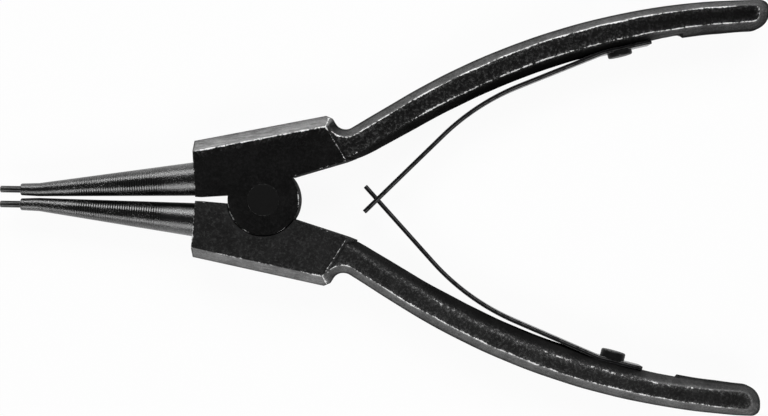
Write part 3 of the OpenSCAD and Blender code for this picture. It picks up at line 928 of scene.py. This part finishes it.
def blackRivet(name, black, gloss, rubAt):
    # satin black head with a fine grain and a rim rubbed a little lighter
    material, tools, where, wear = newMaterial(name)
    grain = where.noise(satin["grain"], 3, 0.65)
    cloud = where.noise(satin["cloud"], 3, 0.6)
    bare = (wear * 0.8 + (cloud - 0.5) * 1.3).between(rubAt, rubAt + 0.25) * 0.6
    normal = bumped(tools, grain * 0.5 + cloud, 0.5, satin["depth"])
    tone = grain.mixed(grey(black), grey(black * 2.5))
    layered(
        tools,
        (None, coat(tone, 0.36 + grain * 0.22, gloss, normal)),
        (bare, bareMetal(satin["bare"], 0.3 + grain * 0.3, normal)))
    return material


drawn = dict(dark=0.002, light=0.01, pale=0.5, lines=0.3, depth=0.06)


def hardWire(name):
    # drawn wire: lines along the pin, blackened with a paler, rubbed working end
    material, tools, where, wear = newMaterial(name)
    lines = where.noise(drawn["lines"], 3, 0.6, (0.12, 1, 1))
    pale = (wear * 0.5 + lines * 0.9).between(0.55, 1.2) * 0.16
    normal = bumped(tools, lines, 0.6, drawn["depth"])
    tone = lines.mixed(grey(drawn["dark"]), grey(drawn["light"]))
    layered(
        tools,
        (None, coat(tone, 0.24 + lines * 0.1, 0.45, normal)),
        (pale, bareMetal(drawn["pale"], 0.35, normal)))
    return material


# putting the pieces on their bodies

finishes = {
    "upper": forgedPaint("upper forging black", black=paint["black"], strength=0.8, wornAt=0.74),
    "lower": forgedPaint("lower forging black", black=paint["black"] * 6, strength=1.0, wornAt=0.8),
    "jaw": turnedSteel("turned jaw black"),
    "spring": bluedStrip("blued spring strip"),
    "rivet": blackRivet("black rivet head", black=0.0016, gloss=0.2, rubAt=0.8),
    "pivot": blackRivet("flush pivot rivet", black=0.0028, gloss=0.15, rubAt=0.74),
    "tip": hardWire("hardened tip wire"),
}
print("finishes made:", len(finishes))


def dress(piece, material, node=None):
    piece.data.materials.append(material)
    if node:
        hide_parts(node)
    return piece


for side, other, seed in (("upper", "lower", 11), ("lower", "upper", 12)):
    over = side == "lower"
    off = leftover[side]
    body = buildPiece(side + "_forging", headGrids(off) + [lugGrid(off)] + barGrids(off, seed), over)
    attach(dress(body, finishes[side], side + "_half"), side)
    cone = buildPiece(side + "_jaw", [jawGrid(off)], over)
    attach(dress(cone, finishes["jaw"]), side)
    pin = buildPiece(side + "_tip", [tipGrid(off)], over)
    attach(dress(pin, finishes["tip"], side + "_tip_pin"), side)
    head = buildPiece(side + "_rivet", [rivetGrid(off)], over)
    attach(dress(head, finishes["rivet"], side + "_spring_rivet"), side)
    strip = buildPiece(side + "_spring", springGrids(side), over)
    dress(strip, finishes["spring"], side + "_leaf_spring")
    startAt, endAt = blendSpan(side)
    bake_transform(strip)
    print(side, "half built:", sum(len(p.data.polygons) for p in (body, cone, pin, head, strip)), "faces")

rivetPiece = buildPiece("pivot", [pivotGrid()])
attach(dress(rivetPiece, finishes["pivot"], "pivot_rivet"), "lower")
print("pivot built")


# floor, light and camera

studio = dict(floorDrop=0.00006, wallAt=4.0, wallHigh=0.8, cove=0.5, columns=96, glow=0.94, sky=0.08,
              lampPower={-1: 3.4, 1: 4.8}, lampLong=0.9, lampWide=0.34,
              lampOut=0.56, lampHigh=0.45, lampAt=0.03)
view = dict(lens=54.84, sensor=36, near=0.01, place=(0.027925, -0.001466, 0.28), roll=math.radians(0.85))


def addFloor():
    # floor that rises in a round cove to a low wall: radius and height of a profile carried round
    s = studio
    turn = np.linspace(0, np.pi / 2, 9)
    radius = np.concatenate([[0], s["wallAt"] - s["cove"] * (1 - np.sin(turn)), [s["wallAt"]]])
    height = np.concatenate([[0], s["cove"] * (1 - np.cos(turn)), [s["wallHigh"]]]) - s["floorDrop"]
    around = np.arange(s["columns"]) * 2 * np.pi / s["columns"]
    points = np.stack([radius[:, None] * np.cos(around), radius[:, None] * np.sin(around),
                       height[:, None] + 0 * around], -1)
    faces = gridFaces(len(radius), s["columns"], True, True)
    mesh = bpy.data.meshes.new("floor")
    mesh.from_pydata(points.reshape(-1, 3).tolist(), [], faces.tolist())
    material = bpy.data.materials.new("white floor")
    mesh.materials.append(material)
    tools = emptyTree(material)
    # white glow for what the camera, a reflection or glass sees, plain matt for what lights the object
    seen, glossy, through = (tools.make("ShaderNodeLightPath", output=kind)
                             for kind in ("Is Camera Ray", "Is Glossy Ray", "Is Transmission Ray"))
    matt = tools.make("ShaderNodeBsdfDiffuse", {}, {"Color": grey(0.9)})
    glow = tools.make("ShaderNodeEmission", {}, {"Color": grey(1.0), "Strength": 1.0})
    share = seen.most(glossy.most(through)) * s["glow"]
    mix = tools.make("ShaderNodeMixShader", {}, {0: share, 1: matt, 2: glow})
    tools.make("ShaderNodeOutputMaterial", {}, {"Surface": mix})
    addObject("floor", mesh)


def addLight():
    s = studio
    world = bpy.data.worlds.new("studio")
    bpy.context.scene.world = world
    tools = emptyTree(world)
    sky = tools.make("ShaderNodeBackground", {}, {"Color": grey(1.0), "Strength": s["sky"]})
    tools.make("ShaderNodeOutputWorld", {}, {"Surface": sky})
    for way, power in s["lampPower"].items():
        data = bpy.data.lights.new("side softbox", "AREA")
        data.shape = "RECTANGLE"
        data.size = s["lampLong"]
        data.size_y = s["lampWide"]
        data.energy = power
        lamp = addObject("side softbox", data)
        lamp.location = (s["lampAt"], way * s["lampOut"], s["lampHigh"])
        lamp.rotation_euler = (-way * math.atan2(s["lampOut"], s["lampHigh"]), 0, 0)


def addCamera():
    data = bpy.data.cameras.new("camera")
    data.lens = view["lens"]
    data.sensor_width = view["sensor"]
    data.clip_start = view["near"]
    camera = addObject("camera", data)
    camera.location = view["place"]
    camera.rotation_euler = (0, 0, view["roll"])
    bpy.context.scene.camera = camera


addFloor()
addLight()
addCamera()
bpy.context.scene.view_settings.view_transform = "Standard"
print("floor, light and camera set")
